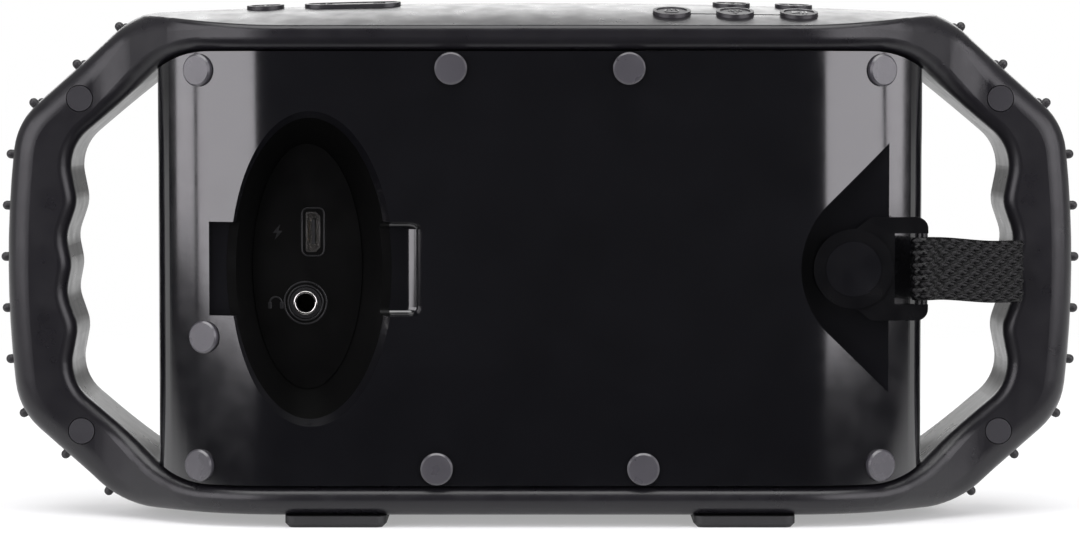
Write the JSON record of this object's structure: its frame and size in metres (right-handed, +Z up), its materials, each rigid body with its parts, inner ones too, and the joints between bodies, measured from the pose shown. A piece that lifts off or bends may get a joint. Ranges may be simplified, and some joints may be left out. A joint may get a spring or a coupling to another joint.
{
  "type": "portable shower speaker",
  "caption": "Rugged shower speaker with a one-piece bumper ring, two finger-grip end handles, rear port recess, sealed screws and a swivel wrist strap.",
  "frame": {"origin": "centre of the bounding box base, where the feet stand", "axes": "+X along the long direction towards the port recess side, front grille faces -Y, back with ports and strap faces +Y, +Z up"},
  "size_m": [0.2128, 0.0598, 0.1015],
  "materials": {
    "frame": "satin moulded, soft touch",
    "shell": "smooth gloss moulding",
    "rubber": "moulded grip rubber",
    "foot_rubber": "moulded rubber",
    "seal": "silicone seal",
    "grille": "perforated sheet, satin black",
    "plug": "fine matt rubber",
    "frame_plug": "fine matt rubber",
    "screw": "plated steel",
    "port_plastic": "fine matt",
    "plated": "nickel plated shell",
    "tongue": "moulded insulator",
    "jack": "moulded jack body",
    "board": "solder masked board",
    "cell": "shrink wrapped cell",
    "holder": "moulded tray",
    "switch": "pressed steel and plastic",
    "swivel": "satin moulded",
    "buckle": "satin moulded",
    "webbing": "coarse woven polyester",
    "surround": "moulded rubber",
    "cone": "coated paper",
    "cap": "coated paper",
    "basket": "pressed steel",
    "magnet": "pressed steel pot",
    "key": "matt rubber key"
  },
  "bodies": {
    "case": {"aux_jack": "jack", "battery_cells": "cell", "battery_holder": "holder", "body_screw_plugs": "plug", "body_screws": "screw", "case_seal": "seal", "driver_basket_left": "basket", "driver_basket_right": "basket", "driver_magnet_left": "magnet", "driver_magnet_right": "magnet", "driver_surround_left": "surround", "driver_surround_right": "surround", "foot_left": "foot_rubber", "foot_right": "foot_rubber", "frame_front": "frame", "frame_rear": "frame", "frame_screw_plugs": "frame_plug", "frame_screws": "screw", "front_grille": "grille", "front_shell": "shell", "key_board": "board", "key_mat": "seal", "key_switches": "switch", "main_board": "board", "nub_strip_left": "rubber", "nub_strip_right": "rubber", "port_board": "board", "port_gasket": "seal", "port_plate": "port_plastic", "port_well": "port_plastic", "radiator_surround": "surround", "rear_shell": "shell", "swivel_nut": "screw", "swivel_pin": "swivel", "usb_receptacle": "plated", "usb_tongue": "tongue"},
    "left_cone": {"driver_cone_left": "cone", "driver_cap_left": "cap"},
    "right_cone": {"driver_cone_right": "cone", "driver_cap_right": "cap"},
    "radiator": {"radiator_plate": "cone"},
    "buckle": {"strap_buckle": "buckle"},
    "webbing": {"strap_webbing": "webbing"},
    "key_light_body": {"key_light": "key"},
    "key_next_body": {"key_next": "key"},
    "key_pair_body": {"key_pair": "key"},
    "key_play_body": {"key_play": "key"},
    "key_power_body": {"key_power": "key"},
    "key_previous_body": {"key_previous": "key"},
    "key_volume_body": {"key_volume": "key"}
  },
  "joints": [
    {"name": "key_light_press", "type": "slide", "parent": "case", "child": "key_light_body", "axis": [0, 0, -1], "range_m": [0, 0.0006], "stiffness_N_per_m": 1500},
    {"name": "key_next_press", "type": "slide", "parent": "case", "child": "key_next_body", "axis": [0, 0, -1], "range_m": [0, 0.0006], "stiffness_N_per_m": 1500},
    {"name": "key_pair_press", "type": "slide", "parent": "case", "child": "key_pair_body", "axis": [0, 0, -1], "range_m": [0, 0.0006], "stiffness_N_per_m": 1500},
    {"name": "key_play_press", "type": "slide", "parent": "case", "child": "key_play_body", "axis": [0, 0, -1], "range_m": [0, 0.0006], "stiffness_N_per_m": 1500},
    {"name": "key_power_press", "type": "slide", "parent": "case", "child": "key_power_body", "axis": [0, 0, -1], "range_m": [0, 0.0006], "stiffness_N_per_m": 1500},
    {"name": "key_previous_press", "type": "slide", "parent": "case", "child": "key_previous_body", "axis": [0, 0, -1], "range_m": [0, 0.0006], "stiffness_N_per_m": 1500},
    {"name": "key_volume_press", "type": "slide", "parent": "case", "child": "key_volume_body", "axis": [0, 0, -1], "range_m": [0, 0.0006], "stiffness_N_per_m": 1500},
    {"name": "buckle_swivel", "type": "hinge", "parent": "case", "child": "buckle", "pos_m": [-0.06, 0.0263, 0.0497], "axis": [0, 1, 0], "range_deg": [-30, 30]},
    {"name": "webbing_hinge", "type": "hinge", "parent": "buckle", "child": "webbing", "pos_m": [-0.0732, 0.0266, 0.0497], "axis": [0, 0, 1], "range_deg": [-60, 0]},
    {"name": "left_cone_travel", "type": "slide", "parent": "case", "child": "left_cone", "axis": [0, 1, 0], "range_m": [-0.001, 0.001], "stiffness_N_per_m": 1200},
    {"name": "right_cone_travel", "type": "slide", "parent": "case", "child": "right_cone", "axis": [0, 1, 0], "range_m": [-0.001, 0.001], "stiffness_N_per_m": 1200},
    {"name": "radiator_travel", "type": "slide", "parent": "case", "child": "radiator", "axis": [0, 1, 0], "range_m": [-0.001, 0.001], "stiffness_N_per_m": 900}
  ]
}
